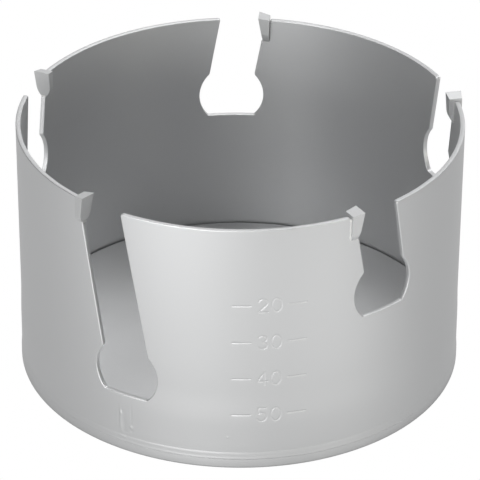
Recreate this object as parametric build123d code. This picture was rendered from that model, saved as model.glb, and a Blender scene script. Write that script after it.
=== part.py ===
from build123d import *
import os
from math import degrees, radians, tan

# Carbide-tipped hole saw of the rolled-band kind, standing on its base plate with the teeth up.
# Millimetres. Origin: centre of the base plate's underside. +Z: the axis, towards the teeth.
# Every gullet and tip is drawn at the +X side of the cup, on the YZ plane: there X is the
# distance from the axis, Y runs along the band in the cutting direction, and Z is the height.

# Cup
cut_diameter = 111.0        # circle swept by the outer corners of the tips
side_clearance = 1.25       # how far a tip stands outside the band
wall = 1.2                  # thickness of the rolled band
rim_height = 65.0           # underside of the base plate to the rim
rim_round = 0.3             # edges of the rim, broken by tumbling
foot_spread = 0.2           # the band's foot opens this much where it is pressed over the plate
spread_height = 11.0        # height above the plate's edge where the band is straight again

# Gullets, punched through the band
gullet_count = 5
first_tip_angle = -130.9    # cutting edge of the tip beside the deep gullet, from +X
slot_width = 12.25
slot_lean = 10.3            # degrees from the axis
slot_setback = 2.15         # tip side of the slot, behind the cutting edge at the rim
corner_round = 0.8          # corners that the slot and the tip's seat make with the rim
keyhole_radius = 8.4
keyhole_offset = 1.0        # centre of the keyhole, off the slot's middle towards the tip
keyhole_flat = 6.4          # centre of the keyhole to its flat floor
shallow_depth = 21.9        # rim to the centre of the keyhole
deep_depth = 43.1           # the same in the gullet over the band's seam

# Carbide tips
tip_stand = 1.1             # cutting edge above the rim
tip_width = 4.0             # across the wall, at the cutting edge
tip_length = 3.1            # along the band, at the top
seat_depth = 6.5            # rim to the floor of the tip's seat
hook_angle = 10.0           # the rake face leans forward
top_relief = 12.0           # degrees, the top falls away behind the edge
outer_relief = 11.0         # degrees, outer flank
inner_relief = 5.0          # degrees, inner flank
flank_taper = 2.0           # degrees, both flanks close in downwards
shoulder_depth = 4.5        # rim to the start of the rounded foot
shoulder_round = 1.6
foot_overhang = 0.1         # the foot is this much wider than the wall, on each side

# Base plate, a turned disc welded into the foot of the band
plate_edge = 3.5            # height of the ledge that the band stands on
plate_proud = 0.2           # its rim stands outside the band's foot
plate_thickness = 4.8
spigot_clearance = 0.1
edge_chamfer = 0.3
arbor_thread = 15.875       # 5/8 in-18 UNF, major diameter
arbor_bore = 14.5           # the same thread's minor diameter
thread_lead_in = 0.1        # countersink beyond the thread's major radius
pin_count = 4
pin_hole = 7.0
pin_circle = 28.6
pin_chamfer = 0.4

# Weld between the band and the plate
weld_leg = 0.8              # half the groove's height, and its depth in the band's foot
weld_crown = 0.1            # the bead stands this far out of the groove

body_radius = cut_diameter / 2 - side_clearance
inner_radius = body_radius - wall
foot_radius = body_radius + foot_spread
plate_radius = foot_radius + plate_proud
tip_pitch = 360 / gullet_count
overrun = 5.0               # how far a cutter passes what it cuts


def slot_middle(depth):
    """Middle of the slot along the band, at a depth below the rim."""
    return slot_width / 2 - slot_setback + depth * tan(radians(slot_lean))


def gullet_profile(depth, middle):
    """Outline of one gullet, flat, drawn about the place that becomes its radial direction."""
    top = rim_height + overrun
    floor = rim_height - depth
    half = slot_width / 2
    ledge = half + corner_round + overrun
    rim_mid = slot_middle(0) - middle
    low_mid = slot_middle(depth) - middle
    slot = make_face(Polyline(
        (low_mid - half, floor),
        (low_mid + half, floor),
        (rim_mid + half, rim_height),
        (rim_mid + ledge, rim_height),
        (rim_mid + ledge, top),
        (rim_mid - half, top),
        (rim_mid - half, rim_height),
        close=True,
    ))
    plain_corner = slot.vertices().sort_by_distance((rim_mid + half, rim_height))[0]
    slot = fillet(plain_corner, corner_round)
    keyhole = Pos(low_mid - keyhole_offset, floor) * Circle(keyhole_radius)
    below = Pos(low_mid - keyhole_offset, floor - keyhole_flat) * Rectangle(
        3 * keyhole_radius, keyhole_radius, align=(Align.CENTER, Align.MAX)
    )
    return slot + (keyhole - below)


def gullet_cutter(depth):
    """Punch for one gullet, its cutting edge's tip at the +X side of the cup."""
    middle = (slot_middle(0) + slot_middle(depth)) / 2
    start = Plane.YZ.offset(inner_radius - overrun)
    punch = extrude(start * gullet_profile(depth, middle), wall + 2 * overrun)
    return Rot(Z=degrees(middle / body_radius)) * punch


def seat_cutter():
    """Notch that the tip is brazed into, open towards the slot."""
    top = rim_height + overrun
    floor = rim_height - seat_depth
    open_end = slot_middle(0)
    ledge = tip_length + corner_round + overrun
    notch = make_face(Polyline(
        (-tip_length, floor),
        (open_end, floor),
        (open_end, top),
        (-ledge, top),
        (-ledge, rim_height),
        (-tip_length, rim_height),
        close=True,
    ))
    back_corner = notch.vertices().sort_by_distance((-tip_length, rim_height))[0]
    notch = fillet(back_corner, corner_round)
    start = Plane.YZ.offset(inner_radius - overrun)
    return extrude(start * notch, wall + 2 * overrun)


def tip_angles():
    return [first_tip_angle + number * tip_pitch for number in range(gullet_count)]


def saw_band():
    """Strip rolled to a ring and butt-welded, with its gullets and the seats of the tips."""
    straight = plate_edge + spread_height
    section = make_face(Polyline(
        (foot_radius - wall, plate_edge),
        (foot_radius, plate_edge),
        (body_radius, straight),
        (body_radius, rim_height),
        (inner_radius, rim_height),
        (inner_radius, straight),
        close=True,
    ))
    band = revolve(Plane.XZ * section, Axis.Z)
    rim = band.edges().group_by(Axis.Z)[-1]
    band = fillet(rim, min(rim_round, 0.4 * wall))
    foot = band.edges().group_by(Axis.Z)[0].sort_by(SortBy.RADIUS)[-1]
    band = chamfer(foot, weld_leg)
    for number, angle in enumerate(tip_angles()):
        depth = deep_depth if number == 0 else shallow_depth
        band -= Rot(Z=angle) * gullet_cutter(depth)
        band -= Rot(Z=angle) * seat_cutter()
    return band


def tip_side():
    """The tip seen from outside the cup: rake face, relieved top, square back and foot."""
    top = rim_height + tip_stand
    floor = rim_height - seat_depth
    lean = (top - floor) * tan(radians(hook_angle))
    drop = tip_length * tan(radians(top_relief))
    return make_face(Polyline(
        (0, top),
        (-tip_length, top - drop),
        (-tip_length, floor),
        (-lean, floor),
        close=True,
    ))


def tip_front():
    """The tip seen along the band: tapered flanks that round in to the foot on the wall."""
    top = rim_height + tip_stand
    floor = rim_height - seat_depth
    shoulder = rim_height - shoulder_depth
    inset = (top - shoulder) * tan(radians(flank_taper))
    outer = cut_diameter / 2
    inner = outer - tip_width
    outline = make_face(Polyline(
        (inner, top),
        (outer, top),
        (outer - inset, shoulder),
        (body_radius + foot_overhang, floor),
        (inner_radius - foot_overhang, floor),
        (inner + inset, shoulder),
        close=True,
    ))
    shoulders = outline.vertices().filter_by_position(Axis.Y, shoulder - 0.01, shoulder + 0.01)
    return fillet(shoulders, shoulder_round)


def tip_plan():
    """The tip seen from above: both flanks close in behind the cutting edge."""
    outer = cut_diameter / 2
    inner = outer - tip_width
    return make_face(Polyline(
        (inner, 0),
        (outer, 0),
        (outer - tip_length * tan(radians(outer_relief)), -tip_length),
        (inner + tip_length * tan(radians(inner_relief)), -tip_length),
        close=True,
    ))


def carbide_tip():
    height = rim_height + overrun
    side = extrude(Plane.YZ.offset(inner_radius - tip_width) * tip_side(), 3 * tip_width)
    front = extrude(Plane.XZ * tip_front(), 2 * tip_length)
    return side & front & extrude(tip_plan(), height)


def base_plate():
    """Disc with a shoulder for the band, a spigot inside it and the arbor's holes."""
    spigot = foot_radius - wall - spigot_clearance
    section = make_face(Polyline(
        (0, 0),
        (plate_radius - edge_chamfer, 0),
        (plate_radius, edge_chamfer),
        (plate_radius, plate_edge - weld_leg),
        (foot_radius - weld_leg, plate_edge),
        (spigot, plate_edge),
        (spigot, plate_thickness),
        (0, plate_thickness),
        close=True,
    ))
    plate = revolve(Plane.XZ * section, Axis.Z)
    arbor_sink = arbor_thread / 2 + thread_lead_in - arbor_bore / 2
    plate -= countersunk_hole(arbor_bore / 2, arbor_sink)
    for hole in PolarLocations(pin_circle / 2, pin_count, start_angle=45):
        plate -= hole * countersunk_hole(pin_hole / 2, pin_chamfer)
    return plate


def countersunk_hole(radius, sink):
    """Straight hole through the plate, with the same small countersink on both faces."""
    section = make_face(Polyline(
        (0, 0),
        (radius + sink, 0),
        (radius, sink),
        (radius, plate_thickness - sink),
        (radius + sink, plate_thickness),
        (0, plate_thickness),
        close=True,
    ))
    return revolve(Plane.XZ * section, Axis.Z)


def base_weld():
    """Bead that fills the groove between the band and the plate all the way round."""
    section = make_face(Polyline(
        (foot_radius - weld_leg, plate_edge),
        (foot_radius, plate_edge + weld_leg),
        ((foot_radius + plate_radius) / 2 + weld_crown, plate_edge),
        (plate_radius, plate_edge - weld_leg),
        close=True,
    ))
    return revolve(Plane.XZ * section, Axis.Z)


def main():
    os.makedirs("parts", exist_ok=True)
    nodes = {"saw_band": saw_band(), "base_plate": base_plate(), "base_weld": base_weld()}
    for number, angle in enumerate(tip_angles(), start=1):
        nodes[f"carbide_tip_{number}"] = Rot(Z=angle) * carbide_tip()
    for name, shape in nodes.items():
        export_step(shape, f"parts/{name}.step")


main()
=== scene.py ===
from math import asin, cos, exp, pi, radians, sin, tan

import bmesh
import bpy
import numpy as np
from mathutils import Matrix, Vector, noise
from mathutils.geometry import delaunay_2d_cdt


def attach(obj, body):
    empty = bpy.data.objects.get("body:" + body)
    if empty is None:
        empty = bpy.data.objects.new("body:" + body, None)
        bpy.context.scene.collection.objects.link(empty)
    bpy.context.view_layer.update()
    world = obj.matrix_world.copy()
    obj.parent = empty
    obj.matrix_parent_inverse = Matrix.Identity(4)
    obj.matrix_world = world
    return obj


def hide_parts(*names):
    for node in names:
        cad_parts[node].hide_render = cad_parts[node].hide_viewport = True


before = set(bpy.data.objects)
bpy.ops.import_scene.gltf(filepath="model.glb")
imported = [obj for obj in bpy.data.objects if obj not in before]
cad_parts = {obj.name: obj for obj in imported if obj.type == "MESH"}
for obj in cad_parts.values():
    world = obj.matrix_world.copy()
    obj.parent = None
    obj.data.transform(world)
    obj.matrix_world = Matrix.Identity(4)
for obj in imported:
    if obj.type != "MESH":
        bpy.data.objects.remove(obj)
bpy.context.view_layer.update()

# Carbide-tipped hole saw: a punched band rolled to a ring, welded to a turned plate.
# Measures are in millimetres and go to metres where a mesh is made. A point of the
# developed band is (along, depth, up): along the band from the first tip's cutting edge,
# depth below the band's outer face, and up from the underside of the plate.

mm = 0.001
merging = 20000             # points less than a part of a millimetre apart are one

cup = {
    "cutRadius": 55.5,
    "bodyRadius": 54.25,
    "wall": 1.2,
    "rim": 65.0,
    "gullets": 5,
    "firstTip": radians(-130.9),
    "foot": 3.5,
    "start": 7.0,           # where the mesh starts and ends, from the first cutting edge
    "spread": 0.2,          # the foot opens this much where it is pressed over the plate
    "spreadTop": 21.0,
    "spreadLow": 12.0,
    "heel": 0.035,          # and this much more next to the weld
    "heelTop": 10.0,
}
cup["round"] = 2 * pi * cup["bodyRadius"]
cup["pitch"] = cup["round"] / cup["gullets"]


def ease(value):            # from 0 to 1, level at both ends
    value = min(1.0, max(0.0, value))
    return value * value * (3 - 2 * value)


def opened(up):             # how much wider the band is at a height
    wide = cup["spread"] * ease((cup["spreadTop"] - up) / (cup["spreadTop"] - cup["spreadLow"]))
    return wide + cup["heel"] * ease((cup["heelTop"] - up) / (cup["heelTop"] - cup["foot"]))


def aboutAxis(radius, angle, up):
    return Vector((radius * cos(angle), radius * sin(angle), up))


def bandPoint(along, depth, up):
    angle = cup["firstTip"] + along / cup["bodyRadius"]
    return aboutAxis(cup["bodyRadius"] + opened(up) - depth, angle, up)


def bandTurn(spot, along, outward, upward):     # a direction at a spot of the band
    angle = cup["firstTip"] + spot[0] / cup["bodyRadius"]
    tangent = Vector((-sin(angle), cos(angle), 0))
    radial = aboutAxis(1, angle, 0)
    reach = 0.05            # the slope is taken over this much each way
    slope = (opened(spot[1] + reach) - opened(spot[1] - reach)) / (2 * reach)
    return tangent * along + radial * outward + Vector((0, 0, upward - outward * slope))


# Pieces and meshes

def smoothMesh(name, points, faces):
    mesh = bpy.data.meshes.new(name)
    mesh.from_pydata([Vector(p) * mm for p in points], [], faces)
    mesh.update()
    mesh.shade_smooth()
    return mesh


def addObject(name, data):
    thing = bpy.data.objects.new(name, data)
    bpy.context.scene.collection.objects.link(thing)
    return thing


def placePiece(name, mesh, material, replaced=()):
    piece = addObject(name, mesh)
    mesh.materials.append(material)
    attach(piece, "root")
    if replaced:
        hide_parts(*replaced)


def addPiece(name, points, faces, material, replaced=(), sharp=30):
    mesh = smoothMesh(name, points, faces)
    mesh.set_sharp_from_angle(angle=radians(sharp))
    placePiece(name, mesh, material, replaced)


def joinLoops(low, high):   # faces between two closed loops of points
    corners = zip(low, low[1:] + low[:1], high[1:] + high[:1], high)
    return [list(face) for face in corners]


def spaced(path, step):     # the same path with no stretch longer than step
    out = [path[0]]
    for start, end in zip(path, path[1:]):
        start, end = Vector(start), Vector(end)
        count = max(1, int((end - start).length / step + 0.999))
        out += [tuple(start.lerp(end, k / count)) for k in range(1, count + 1)]
    return out


def roundOff(path, corner, reach, steps=6):     # swaps a corner for a small curve
    corner = Vector(corner)
    near = [k for k, p in enumerate(path) if (Vector(p) - corner).length < reach]
    first, last = near[0], near[-1]
    start, end = Vector(path[first]), Vector(path[last])
    curve = []
    for k in range(steps + 1):
        t = k / steps
        curve.append(tuple(start * (1 - t) ** 2 + corner * 2 * t * (1 - t) + end * t * t))
    return path[:first] + curve + path[last + 1:]


def roundAll(path, corners):
    for corner, reach in corners:
        path = roundOff(path, corner, reach)
    return path


def outwardOf(path):        # mitred direction out of the metal, which lies right of the path
    rights = []
    for start, end in zip(path, path[1:]):
        way = (Vector(end) - Vector(start)).normalized()
        rights.append(Vector((-way.y, way.x)))
    out = [rights[0]]
    for before, after in zip(rights, rights[1:]):
        middle = (before + after).normalized()
        out.append(middle / max(middle.dot(before), 0.75))
    return out + [rights[-1]]


def arcPath(centre, radius, start, end, steps=28):
    turns = [start + (end - start) * k / steps for k in range(steps + 1)]
    return [(centre[0] + radius * cos(a), centre[1] + radius * sin(a)) for a in turns]


class MeshLists:            # points, their normals and the faces of one mesh, points merged
    def __init__(self):
        self.points, self.normals, self.faces = [], [], []
        self.known = {}

    def add(self, point, normal):
        key = tuple(round(c * merging) for c in point)
        if key not in self.known:
            self.known[key] = len(self.points)
            self.points.append(point)
            self.normals.append(normal)
        return self.known[key]

    def face(self, corners):
        if len(set(corners)) == len(corners):
            self.faces.append(corners)

    def mesh(self, name):
        mesh = smoothMesh(name, self.points, self.faces)
        corners = [vertex for polygon in mesh.polygons for vertex in polygon.vertices]
        mesh.normals_split_custom_set([self.normals[k].normalized() for k in corners])
        return mesh


# The band's outline

gullet = {
    "width": 12.25,
    "lean": tan(radians(10.3)),
    "setback": 2.15,        # tip side of the slot, behind the cutting edge at the rim
    "corner": 0.8,          # corners with the rim; the next ones are how far a rounding reaches
    "seatRound": 0.5,       # foot of the seat's back
    "mouthRound": 0.3,      # seat's floor into the slot
    "neckRound": 0.55,      # slot into the keyhole
    "floorRound": 0.3,
    "keyhole": 8.4,
    "offset": 1.0,
    "flat": 6.1,            # keyhole's centre to its floor
    "shallow": 21.9,
    "deep": 43.1,
    "tipLength": 2.85,
    "seat": 6.1,
    "brazeGap": 0.14,
    "rimRun": 3.0,          # stretch of the rim drawn beside each gullet
    "floorRun": 1.0,        # the same of the keyhole's floor, from each end
    "sample": 0.15,         # stretches while the corners are rounded
    "step": 0.35,           # stretches that are kept
    "bend": 0.02,           # where the outline turns by more than this
    "bendStep": 0.09,       # they are this short
    "longest": 3 * 0.35,
    "wander": [             # how the hand-set punch left each: tip side, plain side, hole, floor
        (-0.25, -0.15, -0.1, 0.0),
        (0.4, 0.0, 0.05, 0.15),
        (0.2, 0.0, 0.0, 0.15),
        (0.25, -0.2, 0.1, 0.3),
        (0.1, 0.0, 0.0, 0.15),
    ],
}


def gulletPath(number):     # left part down to the keyhole's floor, and right part up again
    g = gullet
    rim, hole = cup["rim"], g["keyhole"]
    depth = g["deep"] if number == 0 else g["shallow"]
    tipShift, plainShift, holeShift, floorShift = g["wander"][number]
    middle = g["width"] / 2 - g["setback"] + depth * g["lean"]
    centre = (middle - g["offset"] + holeShift, rim - depth)

    def side(up, shift=0.0):
        return (g["lean"] * (rim - up) - g["setback"] + shift, up)

    def meets(shift):       # where a side of the slot runs into the keyhole
        low, high = centre[1], centre[1] + hole
        for _ in range(40):
            half = (low + high) / 2
            inside = (Vector(side(half, shift)) - Vector(centre)).length < hole
            low, high = (half, high) if inside else (low, half)
        return side(low, shift)

    back = -g["tipLength"] - g["brazeGap"]
    seatFloor = rim - g["seat"] - 0.5 * g["brazeGap"]
    leftMeet, rightMeet = meets(tipShift), meets(g["width"] + plainShift)
    floorTurn = asin((g["flat"] - floorShift) / hole)
    leftTurn = pi - asin((leftMeet[1] - centre[1]) / hole)
    rightTurn = asin((rightMeet[1] - centre[1]) / hole)
    rimRight = side(rim, g["width"] + plainShift)
    seatEnd = side(seatFloor, tipShift)
    left = [(back - g["rimRun"], rim), (back, rim), (back, seatFloor), seatEnd]
    left += arcPath(centre, hole, leftTurn, pi + floorTurn)
    floorLeft = left[-1]
    left.append((floorLeft[0] + g["floorRun"], floorLeft[1]))
    right = arcPath(centre, hole, -floorTurn, rightTurn)
    floorRight = right[0]
    right = [(floorRight[0] - g["floorRun"], floorRight[1])] + right
    right += [rimRight, (rimRight[0] + g["rimRun"], rim)]
    left = roundAll(spaced(left, g["sample"]), [
        ((back, rim), g["corner"]), ((back, seatFloor), g["seatRound"]),
        (seatEnd, g["mouthRound"]), (leftMeet, g["neckRound"]), (floorLeft, g["floorRound"])])
    right = roundAll(spaced(right, g["sample"]), [
        (floorRight, g["floorRound"]), (rightMeet, g["neckRound"]), (rimRight, g["corner"])])
    return left, right


def rimPath():              # from below the deep gullet once round, through every gullet
    start, whole = cup["start"], cup["round"]
    path = []
    for number in range(cup["gullets"] + 1):
        left, right = gulletPath(number % cup["gullets"])
        shift = number * cup["pitch"]
        if number > 0:
            path += [(x + shift, y) for x, y in left]
        else:
            path.append((start, right[0][1]))
        if number < cup["gullets"]:
            path += [(x + shift, y) for x, y in right]
        else:
            path.append((start + whole, left[-1][1]))
    kept = [path[0]]
    for point, after in zip(path[1:], path[2:]):    # thins the fine samples out again
        way = Vector(point) - Vector(kept[-1])
        bend = abs((Vector(after) - Vector(point)).angle(way, 0))
        if way.length > gullet["step" if bend < gullet["bend"] else "bendStep"]:
            kept.append(point)
    return spaced(kept + [path[-1]], gullet["longest"])


# Stamped depth marks

depthMarks = {
    "depths": (20, 30, 40, 50),     # below the rim
    "middle": 45.8,
    "height": 3.6,
    "spread": 2.3,          # width of a figure
    "gap": 0.95,
    "tick": 4.2,
    "tickGap": 1.7,
    "groove": 0.38,         # half the groove's width
    "deep": 0.075,
    "step": 0.35,
    "endSteps": 8,          # points round a stroke's end
    "clear": 2.2,           # the face's own grid keeps this many half widths away
}


def oval(cx, cy, rx, ry, start, end, steps=14):
    turns = [radians(start + (end - start) * k / steps) for k in range(steps + 1)]
    return [(cx + rx * cos(a), cy + ry * sin(a)) for a in turns]


figures = {                 # strokes in a box one wide and one high
    "0": [oval(0.5, 0.5, 0.5, 0.5, 90, 450, 26)],
    "2": [oval(0.5, 0.72, 0.47, 0.28, 165, -38) + [(0.02, 0.0), (1.0, 0.0)]],
    "3": [oval(0.48, 0.75, 0.42, 0.25, 150, -90), oval(0.48, 0.25, 0.48, 0.25, 90, -150)],
    "4": [[(0.74, 0.0), (0.74, 1.0), (0.0, 0.28), (1.0, 0.28)]],
    "5": [[(0.92, 1.0), (0.14, 1.0), (0.08, 0.55)] + oval(0.46, 0.32, 0.48, 0.32, 128, -150)],
}


def markStrokes():
    m = depthMarks
    strokes = []
    for depth in m["depths"]:
        base = cup["rim"] - depth - m["height"] / 2
        text = str(depth)
        wide = len(text) * m["spread"] + (len(text) - 1) * m["gap"]
        left = m["middle"] - wide / 2
        for place, figure in enumerate(text):
            start = left + place * (m["spread"] + m["gap"])
            for stroke in figures[figure]:
                strokes.append([(start + x * m["spread"], base + y * m["height"])
                                for x, y in stroke])
        for side in (-1, 1):
            inner = m["middle"] + side * (wide / 2 + m["tickGap"])
            level = cup["rim"] - depth
            strokes.append([(inner, level), (inner + side * m["tick"], level)])
    return [spaced(stroke, m["step"]) for stroke in strokes]


def roundEnd(spot, half, start):    # half a circle, clockwise from its start
    steps = depthMarks["endSteps"]
    turns = [start - pi * k / steps for k in range(1, steps)]
    return [tuple(Vector(spot) + half * Vector((cos(a), sin(a)))) for a in turns]


def strokeOutline(stroke, half):    # closed loops round a stroke, with round ends
    outs = outwardOf(stroke)
    left = [tuple(Vector(p) + o * half) for p, o in zip(stroke, outs)]
    right = [tuple(Vector(p) - o * half) for p, o in zip(stroke, outs)]
    if (Vector(stroke[0]) - Vector(stroke[-1])).length < 1e-6:
        return [left[:-1], right[:-1]]
    startTurn, endTurn = (Vector((1, 0)).angle_signed(out, 0) for out in (outs[0], outs[-1]))
    cap = roundEnd(stroke[-1], half, -endTurn)
    nose = roundEnd(stroke[0], half, -startTurn + pi)
    return [left + cap + right[::-1] + nose]


def distanceTo(strokes, points):
    points = np.asarray(points, float)
    best = np.full(len(points), 1e9)
    for stroke in strokes:
        for start, end in zip(stroke, stroke[1:]):
            a, b = np.array(start), np.array(end)
            way = b - a
            t = np.clip(((points - a) @ way) / (way @ way), 0, 1)
            best = np.minimum(best, np.hypot(*(points - a - t[:, None] * way).T))
    return best


# Marks of the strip's butt weld and other small unevenness of the outer face

relief = {
    "region": (8.2, 13.4, 4.8, 15.0),   # from and to along the band, from and to in height
    "step": 0.16,
    "fade": 0.6,
    "spots": [              # along, up, half width, half height, how deep (raised below zero)
        (9.38, 10.55, 0.3, 0.7, -0.12),
        (9.75, 11.0, 0.22, 0.5, 0.07),
        (9.22, 9.0, 0.3, 1.6, -0.06),
        (8.7, 9.0, 0.3, 3.6, 0.03),
        (10.3, 7.6, 0.55, 2.4, 0.06),
        (9.35, 6.6, 0.4, 1.2, -0.05),
        (12.28, 11.0, 0.16, 2.6, 0.035),
        (12.75, 10.5, 0.25, 3.0, -0.015),
        (12.2, 7.1, 0.36, 0.42, -0.12),
        (12.3, 6.1, 0.35, 0.35, 0.06),
        (10.9, 5.6, 0.9, 0.35, 0.03),
    ],
    "specks": [(36.1, 8.7, 0.3, 0.22, -0.04)],
    "speckCells": 4,        # grid cells of half its own width each way from a speck's middle
}


def addSpots(depth, spots, x, y):
    for along, up, wide, tall, deep in spots:
        depth += deep * np.exp(-((x - along) / wide) ** 2 - ((y - up) / tall) ** 2)


def reliefDepth(x, y):      # how far the outer face lies below the rolled cylinder
    x = (x - cup["start"]) % cup["round"] + cup["start"]
    left, right, low, high = relief["region"]
    fringe = np.minimum.reduce([x - left, right - x, y - low, high - y]) / relief["fade"]
    depth = np.zeros(len(x))
    addSpots(depth, relief["spots"], x, y)
    depth *= np.clip(fringe, 0, 1)
    addSpots(depth, relief["specks"], x, y)
    return depth


# The band itself

bandEdge = {
    "outer": (0.3, 0.2),    # how far the punched edge rolls in along the face, and how deep
    "inner": (0.16, 0.14),
    "sheared": 0.58,        # depth where the smooth sheared zone ends and the break starts
    "breakOut": 0.1,        # the broken zone widens the gullet inwards by this much
    "soft": 0.03,           # the turn between the two zones is spread this far each way
    "steps": 5,
    "seatShare": 0.4,       # the edges round the brazed seat are filled to this share
    "seatReach": (0.4, 0.9, 0.5, 0.9),  # past its back, off the slot, past its floor, off the rim
    "seatFade": 0.3,
    "columns": 1.2,
    "rows": 2.4,
    "seamStep": 1.0,
    "clear": 0.5,           # the grid of a face keeps this far from its border
}


def edgeSections():         # (inset, depth, outward part of the normal, part off the face)
    e = bandEdge
    wall = cup["wall"]
    turns = [pi / 2 * k / e["steps"] for k in range(e["steps"] + 1)]
    along, deep = e["outer"]
    sections = [(along * (1 - sin(t)), deep * (1 - cos(t)), deep * sin(t), along * cos(t))
                for t in turns]
    slant = e["breakOut"] / (wall - e["sheared"] - e["inner"][1])
    sections += [(0.0, e["sheared"] - e["soft"], 1.0, 0.0),
                 (e["soft"] * slant, e["sheared"] + e["soft"], 1.0, -slant)]
    along, deep = e["inner"]
    tiny = 0.0001           # keeps the last normal from being flat
    sections += [(e["breakOut"] + along * (1 - sin(t)), wall - deep * (1 - cos(t)),
                  deep * sin(t) + tiny, -along * cos(t) - slant * deep * sin(t))
                 for t in turns[::-1]]
    return sections


def seatShare(point):       # how much of the edge's rounding is left at a point of the outline
    pitch, rim = cup["pitch"], cup["rim"]
    x = (point[0] + pitch / 2) % pitch - pitch / 2
    back = gullet["tipLength"] + gullet["brazeGap"]
    floor = rim - gullet["seat"]
    pastBack, offSlot, pastFloor, offRim = bandEdge["seatReach"]
    beside = min(x + back + pastBack, -offSlot - x, point[1] - floor + pastFloor,
                 rim - offRim - point[1])
    return 1 - (1 - bandEdge["seatShare"]) * ease(beside / bandEdge["seatFade"])


def insideOf(border, points):       # which points a closed loop holds
    held = np.zeros(len(points), bool)
    x, y = points[:, 0], points[:, 1]
    for (ax, ay), (bx, by) in zip(border, border[1:] + border[:1]):
        if ay != by:
            crossed = (ay > y) != (by > y)
            held ^= crossed & (x < (bx - ax) * (y - ay) / (by - ay) + ax)
    return held


def fillFace(lists, border, depthOf, side, extra, constraints=()):
    points = [Vector(p) for p in border]
    edges = [(k, (k + 1) % len(border)) for k in range(len(border))]
    for loop, closed in constraints:
        first = len(points)
        points += [Vector(p) for p in loop]
        edges += [(first + k, first + k + 1) for k in range(len(loop) - 1)]
        if closed:
            edges.append((first + len(loop) - 1, first))
    points += [Vector(p) for p in extra]
    flatPoints, _, triangles, *_ = delaunay_2d_cdt(points, edges, [], 0, 1e-5, False)
    places = np.array([tuple(p) for p in flatPoints])
    kept = insideOf(border, places[np.array(triangles)].mean(1))
    x, y = places[:, 0], places[:, 1]
    reach = 0.02            # slopes are taken over this much each way
    depths = depthOf(x, y)
    slopesAlong = (depthOf(x + reach, y) - depthOf(x - reach, y)) / (2 * reach)
    slopesUp = (depthOf(x, y + reach) - depthOf(x, y - reach)) / (2 * reach)
    numbers = {}
    for triangle in (t for t, wanted in zip(triangles, kept) if wanted):
        for k in triangle:
            if k not in numbers:
                normal = bandTurn(flatPoints[k], slopesAlong[k], side, slopesUp[k])
                point = bandPoint(flatPoints[k].x, depths[k], flatPoints[k].y)
                numbers[k] = lists.add(point, normal.normalized())
        corners = [numbers[k] for k in triangle]
        lists.face(corners if side > 0 else corners[::-1])


def gridPoints(border, strokes=()):     # finer where the outer face has its relief
    e = bandEdge
    left, right = cup["start"], cup["start"] + cup["round"]
    columns = np.arange(left + e["columns"] / 2, right, e["columns"])
    rows = np.arange(cup["foot"] + e["rows"] / 2, cup["rim"], e["rows"])
    grid = [(x, y) for x in columns for y in rows]
    if strokes:
        left, right, low, high = relief["region"]
        step = relief["step"]
        grid = [(x, y) for x, y in grid if not (left < x < right and low < y < high)]
        grid += [(x, y) for x in np.arange(left, right, step) for y in np.arange(low, high, step)]
        cells = range(-relief["speckCells"], relief["speckCells"] + 1)
        for along, up, wide, tall, _ in relief["specks"]:
            grid += [(along + i * wide / 2, up + j * tall / 2) for i in cells for j in cells]
    x, y = np.array(border).T
    kept = []
    blocks = 40             # a part at a time needs less memory
    for block in np.array_split(np.array(grid), blocks):
        gaps = np.hypot(block[:, :1] - x, block[:, 1:] - y)
        kept.append(block[gaps.min(1) > e["clear"]])
    kept = np.concatenate(kept)
    if strokes:
        kept = kept[distanceTo(strokes, kept) > depthMarks["clear"] * depthMarks["groove"]]
    return kept


def buildEdge(lists, path):     # the cut edge along a path, and its flat outlines on both faces
    outs = outwardOf(path)
    shares = [seatShare(point) for point in path]
    wall = cup["wall"]
    rings = []
    for inset, depth, out, off in edgeSections():
        ring = []
        for point, outward, share in zip(path, outs, shares):
            flat = Vector(point) - outward * inset * share
            way = outward.normalized() * out
            normal = bandTurn(flat, way.x, off, way.y).normalized()
            deep = depth
            if depth < bandEdge["outer"][1]:
                deep = depth * share
            elif depth > wall - bandEdge["inner"][1]:
                deep = wall - (wall - depth) * share
            ring.append((lists.add(bandPoint(flat.x, deep, flat.y), normal), tuple(flat)))
        rings.append(ring)
    for here, after in zip(rings, rings[1:]):
        for k in range(len(path) - 1):
            lists.face([here[k][0], here[k + 1][0], after[k + 1][0], after[k][0]])
    return [[flat for _, flat in rings[place]] for place in (0, -1)]


def buildBand(material):
    lists = MeshLists()
    start, whole, foot = cup["start"], cup["round"], cup["foot"]
    upper = buildEdge(lists, rimPath())
    footPath = spaced([(start + whole, foot), (start, foot)], bandEdge["columns"])
    lower = buildEdge(lists, footPath)
    strokes = markStrokes()
    groove, deep = depthMarks["groove"], depthMarks["deep"]
    loops = [(loop, True) for s in strokes for part in (0.5, 1.0)
             for loop in strokeOutline(s, groove * part)]
    loops += [(stroke, False) for stroke in strokes]

    def outerDepth(x, y):
        near = np.clip(distanceTo(strokes, np.column_stack([x, y])) / groove, 0, 1)
        return deep * (1 + np.cos(pi * near)) / 2 + reliefDepth(x, y)

    def innerDepth(x, y):
        return np.full(len(x), cup["wall"])

    for above, below, side in zip(upper, lower, (1, -1)):
        end = spaced([above[-1], below[0]], bandEdge["seamStep"])[1:-1]
        border = above + end + below + [(x - whole, y) for x, y in end[::-1]]
        if side > 0:
            fillFace(lists, border, outerDepth, side, gridPoints(border, strokes), loops)
        else:
            fillFace(lists, border, innerDepth, side, gridPoints(border))
    placePiece("bandShell", lists.mesh("bandShell"), material, ["saw_band"])


# Carbide tips

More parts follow.
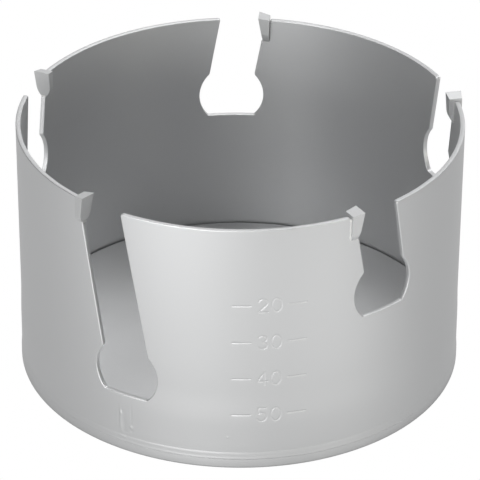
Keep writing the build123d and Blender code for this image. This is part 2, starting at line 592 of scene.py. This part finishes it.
tip = {
    "stand": 1.1,
    "width": 4.0,
    "hook": tan(radians(10)),
    "topRelief": tan(radians(12)),
    "outerRelief": tan(radians(11)),
    "innerRelief": tan(radians(5)),
    "taper": tan(radians(2)),
    "shoulder": 4.5,        # rim to the start of the rounded foot
    "shoulderRound": 1.5,
    "overhang": 0.1,
    "step": 0.3,
    "roundSteps": 8,
    "edge": 0.11,           # how far the edges are broken
    "edgeSteps": 3,
    "sharp": radians(24),   # edges that turn by more than this are broken
    "flat": radians(1.5),   # faces that turn by less than this are made one
}


def flankLine(reach, inwards):  # one flank seen along the band: (height, distance from the axis)
    t = tip
    rim = cup["rim"]
    top, floor, shoulder = rim + t["stand"], rim - gullet["seat"], rim - t["shoulder"]
    if inwards < 0:
        foot = cup["bodyRadius"] + t["overhang"]
    else:
        foot = cup["bodyRadius"] - cup["wall"] - t["overhang"]
    corner = (shoulder, reach + inwards * (top - shoulder) * t["taper"])
    line = spaced([(top, reach), corner, (floor, foot)], t["step"])
    return roundOff(line, corner, t["shoulderRound"], t["roundSteps"])


def setFlatFaces(mesh, limit=cos(radians(50))):     # large faces stay flat beside broken edges
    around = {}
    for polygon in mesh.polygons:
        for vertex in polygon.vertices:
            around.setdefault(vertex, []).append(polygon)
    corners = []
    for polygon in mesh.polygons:
        for vertex in polygon.vertices:
            total = Vector((0, 0, 0))
            for other in around[vertex]:
                if other.normal.dot(polygon.normal) > limit:
                    total += other.normal * other.area ** 2
            corners.append(total.normalized())
    mesh.normals_split_custom_set(corners)


def buildTip(number, material):
    t = tip
    top = cup["rim"] + t["stand"]
    length = gullet["tipLength"]
    outer, inner = cup["cutRadius"], cup["cutRadius"] - t["width"]
    slack = 1e-6
    shape = bmesh.new()
    for reach, inwards, relief in ((outer, -1, t["outerRelief"]), (inner, 1, t["innerRelief"])):
        for height, distance in flankLine(reach, inwards):
            front = -(top - height) * t["hook"]
            drop = -(top - height) / t["topRelief"]     # the relieved top starts behind this
            gap = abs(reach - distance)
            for back in (front, -gap / relief, max(-length, drop), -length):
                if -length - slack <= back <= front + slack:
                    limit = reach + inwards * max(gap, -back * relief)
                    level = min(height, top + back * t["topRelief"])
                    shape.verts.new((limit, back, level))
    bmesh.ops.remove_doubles(shape, verts=shape.verts, dist=1e-4)
    hull = bmesh.ops.convex_hull(shape, input=shape.verts)
    bmesh.ops.delete(shape, geom=[v for v in hull["geom_interior"] if v.is_valid],
                     context="VERTS")
    bmesh.ops.dissolve_limit(shape, angle_limit=t["flat"], verts=shape.verts, edges=shape.edges)
    sharp = [e for e in shape.edges if len(e.link_faces) == 2
             and e.calc_face_angle(0) > t["sharp"]]
    bmesh.ops.bevel(shape, geom=sharp, offset=t["edge"], segments=t["edgeSteps"], profile=0.5,
                    affect="EDGES", clamp_overlap=True)
    turn = Matrix.Rotation(cup["firstTip"] + 2 * pi * number / cup["gullets"], 4, "Z")
    shape.transform(Matrix.Scale(mm, 4) @ turn)
    bmesh.ops.recalc_face_normals(shape, faces=shape.faces)
    mesh = bpy.data.meshes.new(f"tip{number + 1}")
    shape.to_mesh(mesh)
    shape.free()
    mesh.shade_smooth()
    setFlatFaces(mesh)
    placePiece(mesh.name, mesh, material, [f"carbide_tip_{number + 1}"])


# Braze between the tips and their seats

braze = {
    "step": 0.16,
    "sample": 0.1,          # stretches while the corner is rounded
    "cornerRound": 0.4,
    "top": 0.45,            # ends this far below the rim
    "short": 0.1,           # and this far short of the slot
    "half": 0.3,            # half the bead's width
    "widthSwing": (0.45, 1.9),      # how much the width varies, and how quickly along the bead
    # how far each stands out of the outer and the inner face
    "rise": ((0.09, 0.09), (0.19, 0.09), (0.09, 0.09), (0.1, -0.5), (0.09, 0.09)),
    "riseSwing": (0.9, 1.4),
    "dressed": 0.25,        # share left of the rise where it is dressed flush along the floor
    "dressedTop": 0.3,      # which reaches this high above the seat's floor
    "begin": (0.25, 0.2),   # share of the rise at the upper end, and more with each step down
    "dome": 1.5,            # how quickly it falls off to its sides
    "sink": 0.04,           # its sides lie this far under the face
    "turns": 8,
    "seed": (9.7, 3.3),     # from one tip to the next, and the first
}


def brazePath():            # down the seat's back and along its floor to the slot
    g = gullet
    back = -g["tipLength"] - g["brazeGap"] / 2
    floor = cup["rim"] - g["seat"] - 0.25 * g["brazeGap"]
    front = g["lean"] * (cup["rim"] - floor) - g["setback"] - braze["short"]
    path = [(back, cup["rim"] - braze["top"]), (back, floor), (front, floor)]
    path = roundOff(spaced(path, braze["sample"]), (back, floor), braze["cornerRound"])
    return spaced(path, braze["step"])


def buildBraze(number, material):
    b = braze
    path = brazePath()
    around = 2 * pi * number / cup["gullets"] * cup["bodyRadius"]
    corner = cup["rim"] - gullet["seat"] + b["dressedTop"]
    arcs = [pi * k / b["turns"] for k in range(b["turns"] + 1)]
    apart, first = b["seed"]
    seed = number * apart + first
    outer, inner = b["rise"][number]
    much, quick = b["widthSwing"]
    riseMuch, riseQuick = b["riseSwing"]
    share, growth = b["begin"]
    points, loops, faces = [], [], []
    for k, (spot, out) in enumerate(zip(path, outwardOf(path))):
        x, y = spot
        wide = b["half"] * (1 + much * noise.noise(Vector((x * quick, y * quick, seed))))
        shown = 1 + riseMuch * noise.noise(Vector((seed, y * riseQuick, x * riseQuick)))
        if y < corner:
            shown *= b["dressed"]
        shown *= min(1.0, share + k * growth)
        loops.append(list(range(len(points), len(points) + 2 * len(arcs))))
        for face, sign, side in ((0.0, -1, outer), (cup["wall"], 1, inner)):
            rise = side * shown
            for turn in arcs:
                flat = Vector(spot) + out * (wide * cos(turn) * -sign)
                depth = face + sign * (rise * sin(turn) ** b["dome"] - b["sink"])
                points.append(bandPoint(flat.x + around, depth, flat.y))
    for low, high in zip(loops, loops[1:]):
        faces += joinLoops(low, high)
    faces += [loops[0][::-1], loops[-1]]
    addPiece(f"braze{number + 1}", points, faces, material, sharp=50)


# Base plate and its weld

weld = {
    "low": 2.6,
    "high": 4.45,
    "root": (0.8, 0.3),     # its root lies this far inside, and this far below its lower edge
    "tuck": (0.04, 0.1),    # its lower edge is tucked in this far, and down
    "overPlate": 0.01,
    "bulge": 0.03,
    "steps": 1400,
    "shape": [              # height within the bead and bulge out of it, from the plate up
        (0.0, 0.0), (0.1, 0.1), (0.2, -0.3), (0.32, -0.55), (0.44, -0.35), (0.56, 0.25),
        (0.68, 0.85), (0.78, 1.0), (0.86, 0.75), (0.93, 0.25), (1.0, 0.0), (1.05, -0.4),
    ],
    "ends": 4,              # the unevenness fades out over a fourth of the height at each edge
    "strongest": radians(-107),     # the bead shows most to one side of the band's seam
    "reach": radians(20),
    "usual": 0.25,          # share of the bulge away from there
    "least": 0.08,
    "lump": radians(-119.6),        # an untidy start right below the seam
    "lumpReach": radians(2.2),
    "wavers": {             # how much, over what length, and the seed
        "bulge": (0.15, 14.0, 2.7),
        "lump": (0.14, 0.8, 3.3),
        "height": (0.12, 5.0, 7.3),
        "ripple": (0.04, 1.2, 5.1),
        "rough": (0.005, 0.9, 4.4),
    },
}

plate = {
    "thick": 4.8,
    "steps": 240,
    "sample": 0.05,         # stretches while the corners are rounded
    "gap": 0.42,            # open joint between the plate and the band, seen from inside
    "gapFloor": 2.9,
    "gapReach": 1.2,
    "gapRound": 0.16,
    "flatStart": 1.0,       # the flat faces start this far in from the turned corners
    "rim": 54.65,
    "shoulder": 0.03,       # the rim draws in this much where the weld starts
    "shoulderRun": 1.0,
    "shoulderRound": 0.3,
    "round": 0.53,
    "majorRadius": 15.875 / 2,
    "minorRadius": 7.25,
    "pitch": 25.4 / 18,
    "threadForm": (1.25, 3.0),      # how wide the crest is, and how steep its flanks
    "threadMesh": (96, 64),         # points round the hole, and rows up it
    "leadIn": 0.1,
    "pins": 4,
    "firstPin": pi / 4,
    "pinRadius": 3.5,
    "pinCircle": 14.3,
    "pinChamfer": 0.4,
    "pinMesh": (48, 24),
}


def turnedProfile():        # from the top face round the open joint and the rim to underneath
    p = plate
    spigot = cup["bodyRadius"] + opened(p["thick"]) - cup["wall"] - p["gap"]
    rim, top, low = p["rim"], p["thick"], p["gapFloor"]
    shoulder = weld["low"] - p["shoulderRun"]
    path = [(spigot - p["flatStart"], top), (spigot, top), (spigot, low),
            (spigot + p["gapReach"], low), (rim - p["shoulder"], weld["low"] - weld["tuck"][1]),
            (rim, shoulder), (rim, 0.0), (rim - p["flatStart"], 0.0)]
    path = spaced(path, p["sample"])
    path = roundOff(path, (spigot, top), p["gapRound"], 4)
    path = roundOff(path, (rim, shoulder), p["shoulderRound"], 4)
    return roundOff(path, (rim, 0.0), p["round"])


def ringRound(centre, radiusAt, height, steps):
    ring = []
    for k in range(steps):
        a = 2 * pi * k / steps
        r = radiusAt(height, a)
        ring.append(Vector((centre[0] + r * cos(a), centre[1] + r * sin(a), height)))
    return ring


def threadRadius(height, angle):
    p = plate
    turn = (height / p["pitch"] - angle / (2 * pi)) % 1.0
    wide, steep = p["threadForm"]
    crest = min(1.0, max(0.0, wide - abs(turn - 0.5) * steep))
    thread = p["majorRadius"] - (p["majorRadius"] - p["minorRadius"]) * crest
    near = min(height, p["thick"] - height)
    return max(thread, p["majorRadius"] + p["leadIn"] - near)


def pinRadiusAt(height, angle):     # the same all round
    near = min(height, plate["thick"] - height)
    return max(plate["pinRadius"], plate["pinRadius"] + plate["pinChamfer"] - near)


def buildPlate(material):
    p = plate
    points, faces = [], []

    def addRing(centre, radiusAt, height, steps):
        ring = ringRound(centre, radiusAt, height, steps)
        points.extend(ring)
        return list(range(len(points) - steps, len(points)))

    turned = [addRing((0.0, 0.0), lambda *_: reach, height, p["steps"])
              for reach, height in turnedProfile()]
    for upper, lower in zip(turned, turned[1:]):
        faces += joinLoops(lower, upper)
    holes = [((0.0, 0.0), threadRadius, *p["threadMesh"])]
    for k in range(p["pins"]):
        a = p["firstPin"] + 2 * pi * k / p["pins"]
        spot = (p["pinCircle"] * cos(a), p["pinCircle"] * sin(a))
        holes.append((spot, pinRadiusAt, *p["pinMesh"]))
    walls = []
    for centre, radiusAt, steps, rows in holes:
        rings = [addRing(centre, radiusAt, p["thick"] * k / rows, steps) for k in range(rows + 1)]
        for low, high in zip(rings, rings[1:]):
            faces += joinLoops(high, low)
        walls.append(rings)
    slack = 0.01
    for loops, side in (([turned[0]] + [w[-1] for w in walls], 1),
                        ([turned[-1]] + [w[0] for w in walls], -1)):
        flat, edges, owners = [], [], []
        for loop in loops:
            first = len(flat)
            flat += [points[k].to_2d() for k in loop]
            owners += loop
            edges += [(first + k, first + (k + 1) % len(loop)) for k in range(len(loop))]
        _, _, triangles, origins, *_ = delaunay_2d_cdt(flat, edges, [], 0, 1e-6, True)
        for triangle in triangles:
            middle = sum((flat[origins[k][0]] for k in triangle), Vector((0, 0))) / 3
            if any((middle - Vector(h[0])).length < h[1](0, 0) - slack for h in holes):
                continue
            corners = [owners[origins[k][0]] for k in triangle]
            faces.append(corners if side > 0 else corners[::-1])
    addPiece("turnedPlate", points, faces, material, ["base_plate"])


def waver(along, name, share=1.0):  # smooth and uneven, and meets itself after a whole round
    much, size, seed = weld["wavers"][name]
    angle = along / cup["bodyRadius"]
    reach = cup["bodyRadius"] / size
    return much * share * noise.noise(Vector((cos(angle) * reach, sin(angle) * reach, seed)))


def nearness(angle, middle, reach):     # 1 at the middle, falling to 0 either side of it
    apart = (angle - middle + pi) % (2 * pi) - pi
    return exp(-(apart / reach) ** 2)


def buildWeld(material):
    w = weld
    points, faces = [], []
    lowRadius = plate["rim"] - plate["shoulder"] + w["overPlate"]
    highRadius = cup["bodyRadius"] + opened(w["high"])
    rootIn, rootDown = w["root"]
    tuckIn, tuckDown = w["tuck"]
    for k in range(w["steps"]):
        a = 2 * pi * k / w["steps"]
        along = a * cup["bodyRadius"]
        shown = w["usual"] + (1 - w["usual"]) * nearness(a, w["strongest"], w["reach"])
        swell = w["bulge"] * max(w["least"], shown + waver(along, "bulge"))
        swell += waver(along, "lump", nearness(a, w["lump"], w["lumpReach"]))
        shift = waver(along, "height") + waver(along, "ripple")
        rough = waver(along, "rough")
        ring = [(lowRadius - rootIn, w["low"] - rootDown), (lowRadius - tuckIn, w["low"] - tuckDown)]
        for part, bulge in w["shape"]:
            inside = min(1.0, w["ends"] * part, w["ends"] * max(0.0, 1 - part))
            radius = lowRadius + (highRadius - lowRadius) * part + swell * bulge
            radius += rough * inside
            height = w["low"] + part * (w["high"] - w["low"]) + shift * inside
            ring.append((radius, height))
        ring.append((highRadius - rootIn, w["high"] + tuckDown))
        points += [aboutAxis(radius, a, height) for radius, height in ring]
    count = len(w["shape"]) + 3
    for k in range(w["steps"]):
        n = (k + 1) % w["steps"]
        for j in range(count):
            m = (j + 1) % count
            faces.append([k * count + j, n * count + j, n * count + m, k * count + m])
    addPiece("weldBead", points, faces, material, ["base_weld"], 60)


# Finishes

def spotOf(tree):           # where a point of the piece is
    return tree.nodes.new("ShaderNodeTexCoord").outputs["Object"]


def startGroup(name, inputs, outputs):
    group = bpy.data.node_groups.new(name, "ShaderNodeTree")
    kind = "NodeSocketFloat"
    for label, value in inputs.items():
        socket = group.interface.new_socket(name=label, in_out="INPUT", socket_type=kind)
        socket.default_value = value
    for label in outputs:
        group.interface.new_socket(name=label, in_out="OUTPUT", socket_type=kind)
    return group, group.nodes.new("NodeGroupInput"), group.nodes.new("NodeGroupOutput")


def feed(tree, node, sockets):      # sets or links sockets, by name or number
    for key, value in sockets.items():
        socket = node.inputs[key]
        if isinstance(value, bpy.types.NodeSocket):
            tree.links.new(value, socket)
        else:
            socket.default_value = value


def makeNode(tree, kind, sockets, **settings):
    node = tree.nodes.new(kind)
    for key, value in settings.items():
        setattr(node, key, value)
    feed(tree, node, sockets)
    return node


def mathNode(tree, operation, *values):
    sockets = dict(enumerate(values))
    return makeNode(tree, "ShaderNodeMath", sockets, operation=operation).outputs[0]


def noiseOf(tree, size, sockets, **settings):   # noise of a size in millimetres
    sockets = {"Scale": mathNode(tree, "DIVIDE", 1 / mm, size), **sockets}
    return makeNode(tree, "ShaderNodeTexNoise", sockets, **settings).outputs[0]


def swingOf(tree, value, strength):     # the same noise about zero
    return mathNode(tree, "MULTIPLY", mathNode(tree, "SUBTRACT", value, 0.5), strength)


grain = {                   # fine metallic grain under a satin lacquer, and broader clouds
    "sizes": {"Size": 0.3, "Cloud Size": 9.0},
    "fine": {"Detail": 3.0, "Roughness": 0.6},
    "cloud": {"Detail": 2.0, "Roughness": 0.5},
    "roughShare": 0.6,      # how much of the fine grain the roughness follows
    "cloudHeight": 0.15,
}


def grainGroup():
    inputs = {**grain["sizes"], "Grain": 1.0, "Cloud": 1.0}
    group, start, end = startGroup("lacquerGrain", inputs, ["Tone", "Rough", "Height"])
    spot = spotOf(group)
    fine = noiseOf(group, start.outputs["Size"], {"Vector": spot, **grain["fine"]})
    cloud = noiseOf(group, start.outputs["Cloud Size"], {"Vector": spot, **grain["cloud"]})
    fineSwing = swingOf(group, fine, start.outputs["Grain"])
    cloudSwing = swingOf(group, cloud, start.outputs["Cloud"])
    fineRough = mathNode(group, "MULTIPLY", fineSwing, grain["roughShare"])
    cloudHeight = mathNode(group, "MULTIPLY", cloud, grain["cloudHeight"])
    feed(group, end, {"Tone": mathNode(group, "ADD", fineSwing, cloudSwing),
                      "Rough": mathNode(group, "ADD", fineRough, cloudSwing),
                      "Height": mathNode(group, "ADD", cloudHeight, fine)})
    return group


turning = {                 # concentric tool marks about the axis
    "spacing": 0.25,
    "slant": 0.31,          # on a turned edge they change with the height this much
    "noise": {"Detail": 4.0, "Roughness": 0.7},
}


def turningGroup():
    inputs = {"Spacing": turning["spacing"], "Strength": 1.0}
    group, start, end = startGroup("turningMarks", inputs, ["Tone", "Height"])
    x, y, z = makeNode(group, "ShaderNodeSeparateXYZ", {0: spotOf(group)}).outputs
    squares = [mathNode(group, "MULTIPLY", side, side) for side in (x, y)]
    reach = mathNode(group, "SQRT", mathNode(group, "ADD", *squares))
    where = mathNode(group, "ADD", reach, mathNode(group, "MULTIPLY", z, turning["slant"]))
    marks = noiseOf(group, start.outputs["Spacing"], {"W": where, **turning["noise"]},
                    noise_dimensions="1D")
    swing = swingOf(group, marks, start.outputs["Strength"])
    feed(group, end, {"Tone": swing, "Height": marks})
    return group


groups = {"grain": grainGroup(), "turning": turningGroup()}

lacquer = {                 # what the finishes have in common, and each one changes
    "tint": (0.596, 0.601, 0.607),
    "metal": 0.9,
    "rough": 0.5,
    "coat": 0.05,
    "coatRough": 0.25,
    "grain": 0.05,
    "cloud": 0.03,
    "turning": 0.0,
    "contrast": 2.0,        # from the noise to the mix of the two shades of the tint
    "shades": (0.8, 1.2),
    "bump": 0.2,
    "bumpHeight": 0.03,
}

finishes = {
    "bandLacquer": {"cloud": 0.02},
    "plateLacquer": {"cloud": 0.045, "turning": 0.09},
    "weldLacquer": {"grain": 0.07, "cloud": 0.04, "bump": 0.3},
    "brazeMetal": {"tint": (0.72, 0.72, 0.71), "metal": 0.95, "rough": 0.38, "grain": 0.04},
    "tipLacquer": {"tint": (0.57, 0.575, 0.58), "rough": 0.62},
}


def startMaterial(name):
    material = bpy.data.materials.new(name)
    material.use_nodes = True
    return material, material.node_tree, material.node_tree.nodes["Principled BSDF"]


def makeFinish(name):
    f = {**lacquer, **finishes[name]}
    material, tree, shader = startMaterial(name)
    fine = makeNode(tree, "ShaderNodeGroup", {"Grain": f["grain"], "Cloud": f["cloud"]},
                    node_tree=groups["grain"])
    tone, height = fine.outputs["Tone"], fine.outputs["Height"]
    if f["turning"]:
        marks = makeNode(tree, "ShaderNodeGroup", {"Strength": f["turning"]},
                         node_tree=groups["turning"])
        tone = mathNode(tree, "ADD", tone, marks.outputs["Tone"])
        height = mathNode(tree, "ADD", height, marks.outputs["Height"])
    factor = mathNode(tree, "ADD", mathNode(tree, "MULTIPLY", tone, f["contrast"]), 0.5)
    low, high = ([c * s for c in f["tint"]] + [1] for s in f["shades"])
    mix = makeNode(tree, "ShaderNodeMix", {"Factor": factor, 6: low, 7: high}, data_type="RGBA")
    bump = makeNode(tree, "ShaderNodeBump", {
        "Height": height, "Distance": f["bumpHeight"] * mm, "Strength": f["bump"]})
    feed(tree, shader, {
        "Base Color": mix.outputs[2], "Metallic": f["metal"], "Coat Weight": f["coat"],
        "Roughness": mathNode(tree, "ADD", fine.outputs["Rough"], f["rough"]),
        "Coat Roughness": f["coatRough"], "Normal": bump.outputs[0]})
    return material


materials = {name: makeFinish(name) for name in finishes}
print("finishes made")

buildBand(materials["bandLacquer"])
print("band rolled")
for number in range(cup["gullets"]):
    buildTip(number, materials["tipLacquer"])
    buildBraze(number, materials["brazeMetal"])
print("tips set")
buildPlate(materials["plateLacquer"])
buildWeld(materials["weldLacquer"])
print("plate and weld made")


# Floor, lights and camera

studio = {                  # in metres
    "floorSize": 4.0,
    "floorCells": 8,
    "floorDrop": 0.00005,   # keeps the floor off the saw's underside
    "floorGlow": 0.61,      # what the saw sees of the floor, which is white to the eye
    "shade": {"near": 0.0535, "far": 0.0565, "dim": 0.25},  # painted shadow: the floor's glow is dim under the saw
    "pools": [              # painted pools of light, brighter rounds on the glow: degrees right of the front, away, reach and glow
        (-40, 0.3, 0.2, 1.77),
        (-15, 0.14, 0.1, 0.256),
        (35, 0.14, 0.1, 0.544),
        (60, 0.3, 0.2, 0.344),
    ],
    "away": 1.3,            # of every lamp, which faces a spot this high above the floor
    "aim": 0.03,
    "plain": (1.0, 1.0, 1.0),
    "mild": (1.0, 1.0, 0.985),
    "warm": (1.0, 0.99, 0.93),
    "lights": [             # degrees right of the front, degrees up, width and height, watts, hue
        ("lowMiddle", -15, 6, (0.6, 0.3), 6.7, "mild"),
        ("lowRight", 45, 6, (0.6, 0.3), 3.3, "warm"),
        ("left", -40, 18, (0.4, 0.4), 4.2, "plain"),
        ("highLeft", -40, 45, (0.4, 0.4), 3.1, "plain"),
        ("highRight", 90, 45, (0.8, 0.8), 3.3, "plain"),
        ("backRight", 140, 62, (0.8, 0.8), 7.3, "plain"),
        ("backLeft", -140, 62, (0.8, 0.8), 3.8, "plain"),
        ("lowBackRight", 140, 8, (0.8, 0.8), 3.4, "plain"),
        ("lowBack", 180, 12, (0.8, 0.8), 2.4, "plain"),
        ("above", 0, 88, (0.8, 0.8), 2.4, "plain"),
    ],
}


def whiteToTheEye(tree, glow):      # a strength that is 1 for the camera and glow for the rest
    path = tree.nodes.new("ShaderNodeLightPath").outputs["Is Camera Ray"]
    rest = mathNode(tree, "MULTIPLY", mathNode(tree, "SUBTRACT", 1.0, path), glow)
    return mathNode(tree, "ADD", path, rest)


def smoothRange(tree, measured, near, far, atNear, atFar):
    sockets = {0: measured.outputs["Value"], 1: near, 2: far, 3: atNear, 4: atFar}
    node = makeNode(tree, "ShaderNodeMapRange", sockets, interpolation_type="SMOOTHSTEP")
    return node.outputs[0]


def floorGlow(tree):        # an even glow with a few soft painted pools of light on it, and a painted shadow under the saw
    glow, spot = studio["floorGlow"], spotOf(tree)
    for right, away, reach, brightest in studio["pools"]:
        side = radians(right)
        middle = (sin(side) * away, -cos(side) * away, 0)
        apart = makeNode(tree, "ShaderNodeVectorMath", {0: spot, 1: middle}, operation="DISTANCE")
        fall = smoothRange(tree, apart, 0.0, reach, brightest, 0.0)
        glow = mathNode(tree, "ADD", fall, glow)
    fromSaw = makeNode(tree, "ShaderNodeVectorMath", {0: spot}, operation="LENGTH")
    # painted shadow: the floor's glow is dimmed under and close round the saw
    shade = studio["shade"]
    lit = smoothRange(tree, fromSaw, shade["near"], shade["far"], shade["dim"], 1.0)
    return mathNode(tree, "MULTIPLY", glow, lit)


def makeFloor():
    half = studio["floorSize"] / 2
    cells = studio["floorCells"]
    row = cells + 1         # points in a row
    step = studio["floorSize"] / cells
    points = [(-half + i * step, -half + j * step, -studio["floorDrop"])
              for j in range(row) for i in range(row)]
    corners = [j * row + i for j in range(cells) for i in range(cells)]
    faces = [[k, k + 1, k + row + 1, k + row] for k in corners]
    mesh = bpy.data.meshes.new("floor")
    mesh.from_pydata(points, [], faces)
    material, tree, shader = startMaterial("paintedLightFloor")
    below = tree.nodes.new("ShaderNodeNewGeometry").outputs["Backfacing"]
    feed(tree, shader, {
        "Base Color": (0, 0, 0, 1), "Roughness": 1.0, "Specular IOR Level": 0.0,
        "Alpha": mathNode(tree, "SUBTRACT", 1.0, below),    # clear from below
        "Emission Color": (1, 1, 1, 1),
        "Emission Strength": whiteToTheEye(tree, floorGlow(tree))})
    mesh.materials.append(material)
    floor = addObject("floor", mesh)


def direction(side, up):    # turned to the right of the front, and up
    return Vector((sin(side) * cos(up), -cos(side) * cos(up), sin(up)))


def makeLights():
    for name, side, up, size, watts, hue in studio["lights"]:
        data = bpy.data.lights.new(name, "AREA")
        data.shape = "RECTANGLE"
        data.size, data.size_y = size
        data.energy = watts
        data.color = studio[hue]
        lamp = addObject(name, data)
        spot = direction(radians(side), radians(up)) * studio["away"]
        lamp.location = spot + Vector((0, 0, studio["aim"]))
        lamp.rotation_euler = (-spot).to_track_quat("-Z", "Y").to_euler()
        lamp.visible_camera = False
    world = bpy.data.worlds.new("studioAir")
    world.use_nodes = True
    tree = world.node_tree
    feed(tree, tree.nodes["Background"],
         {"Color": (1, 1, 1, 1), "Strength": whiteToTheEye(tree, 0.0)})
    bpy.context.scene.world = world
    bpy.context.scene.view_settings.view_transform = "Standard"


camera = {
    "away": 787.0,          # from the middle of the plate's underside
    "up": radians(32.52),
    "down": radians(30.60),
    "aside": radians(0.007),
    "roll": radians(0.319),
    "sensor": 36,
    "focal": 3118,          # in pixels of the frame, which is 480 wide
    "frame": 480,
    "clip": (0.05, 20),     # in metres
}


def makeCamera():
    c = camera
    forward = -direction(-c["aside"], c["down"])
    right = forward.cross(Vector((0, 0, 1))).normalized()
    above = right.cross(forward)
    turnedRight = right * cos(c["roll"]) + above * sin(c["roll"])
    turnedAbove = above * cos(c["roll"]) - right * sin(c["roll"])
    data = bpy.data.cameras.new("studioCamera")
    data.lens = c["sensor"] * c["focal"] / c["frame"]
    data.sensor_width = c["sensor"]
    data.clip_start, data.clip_end = c["clip"]
    eye = addObject("studioCamera", data)
    pose = Matrix((turnedRight, turnedAbove, -forward)).transposed().to_4x4()
    pose.translation = direction(0, c["up"]) * c["away"] * mm
    eye.matrix_world = pose
    bpy.context.scene.camera = eye


makeFloor()
makeLights()
makeCamera()
print("studio set")
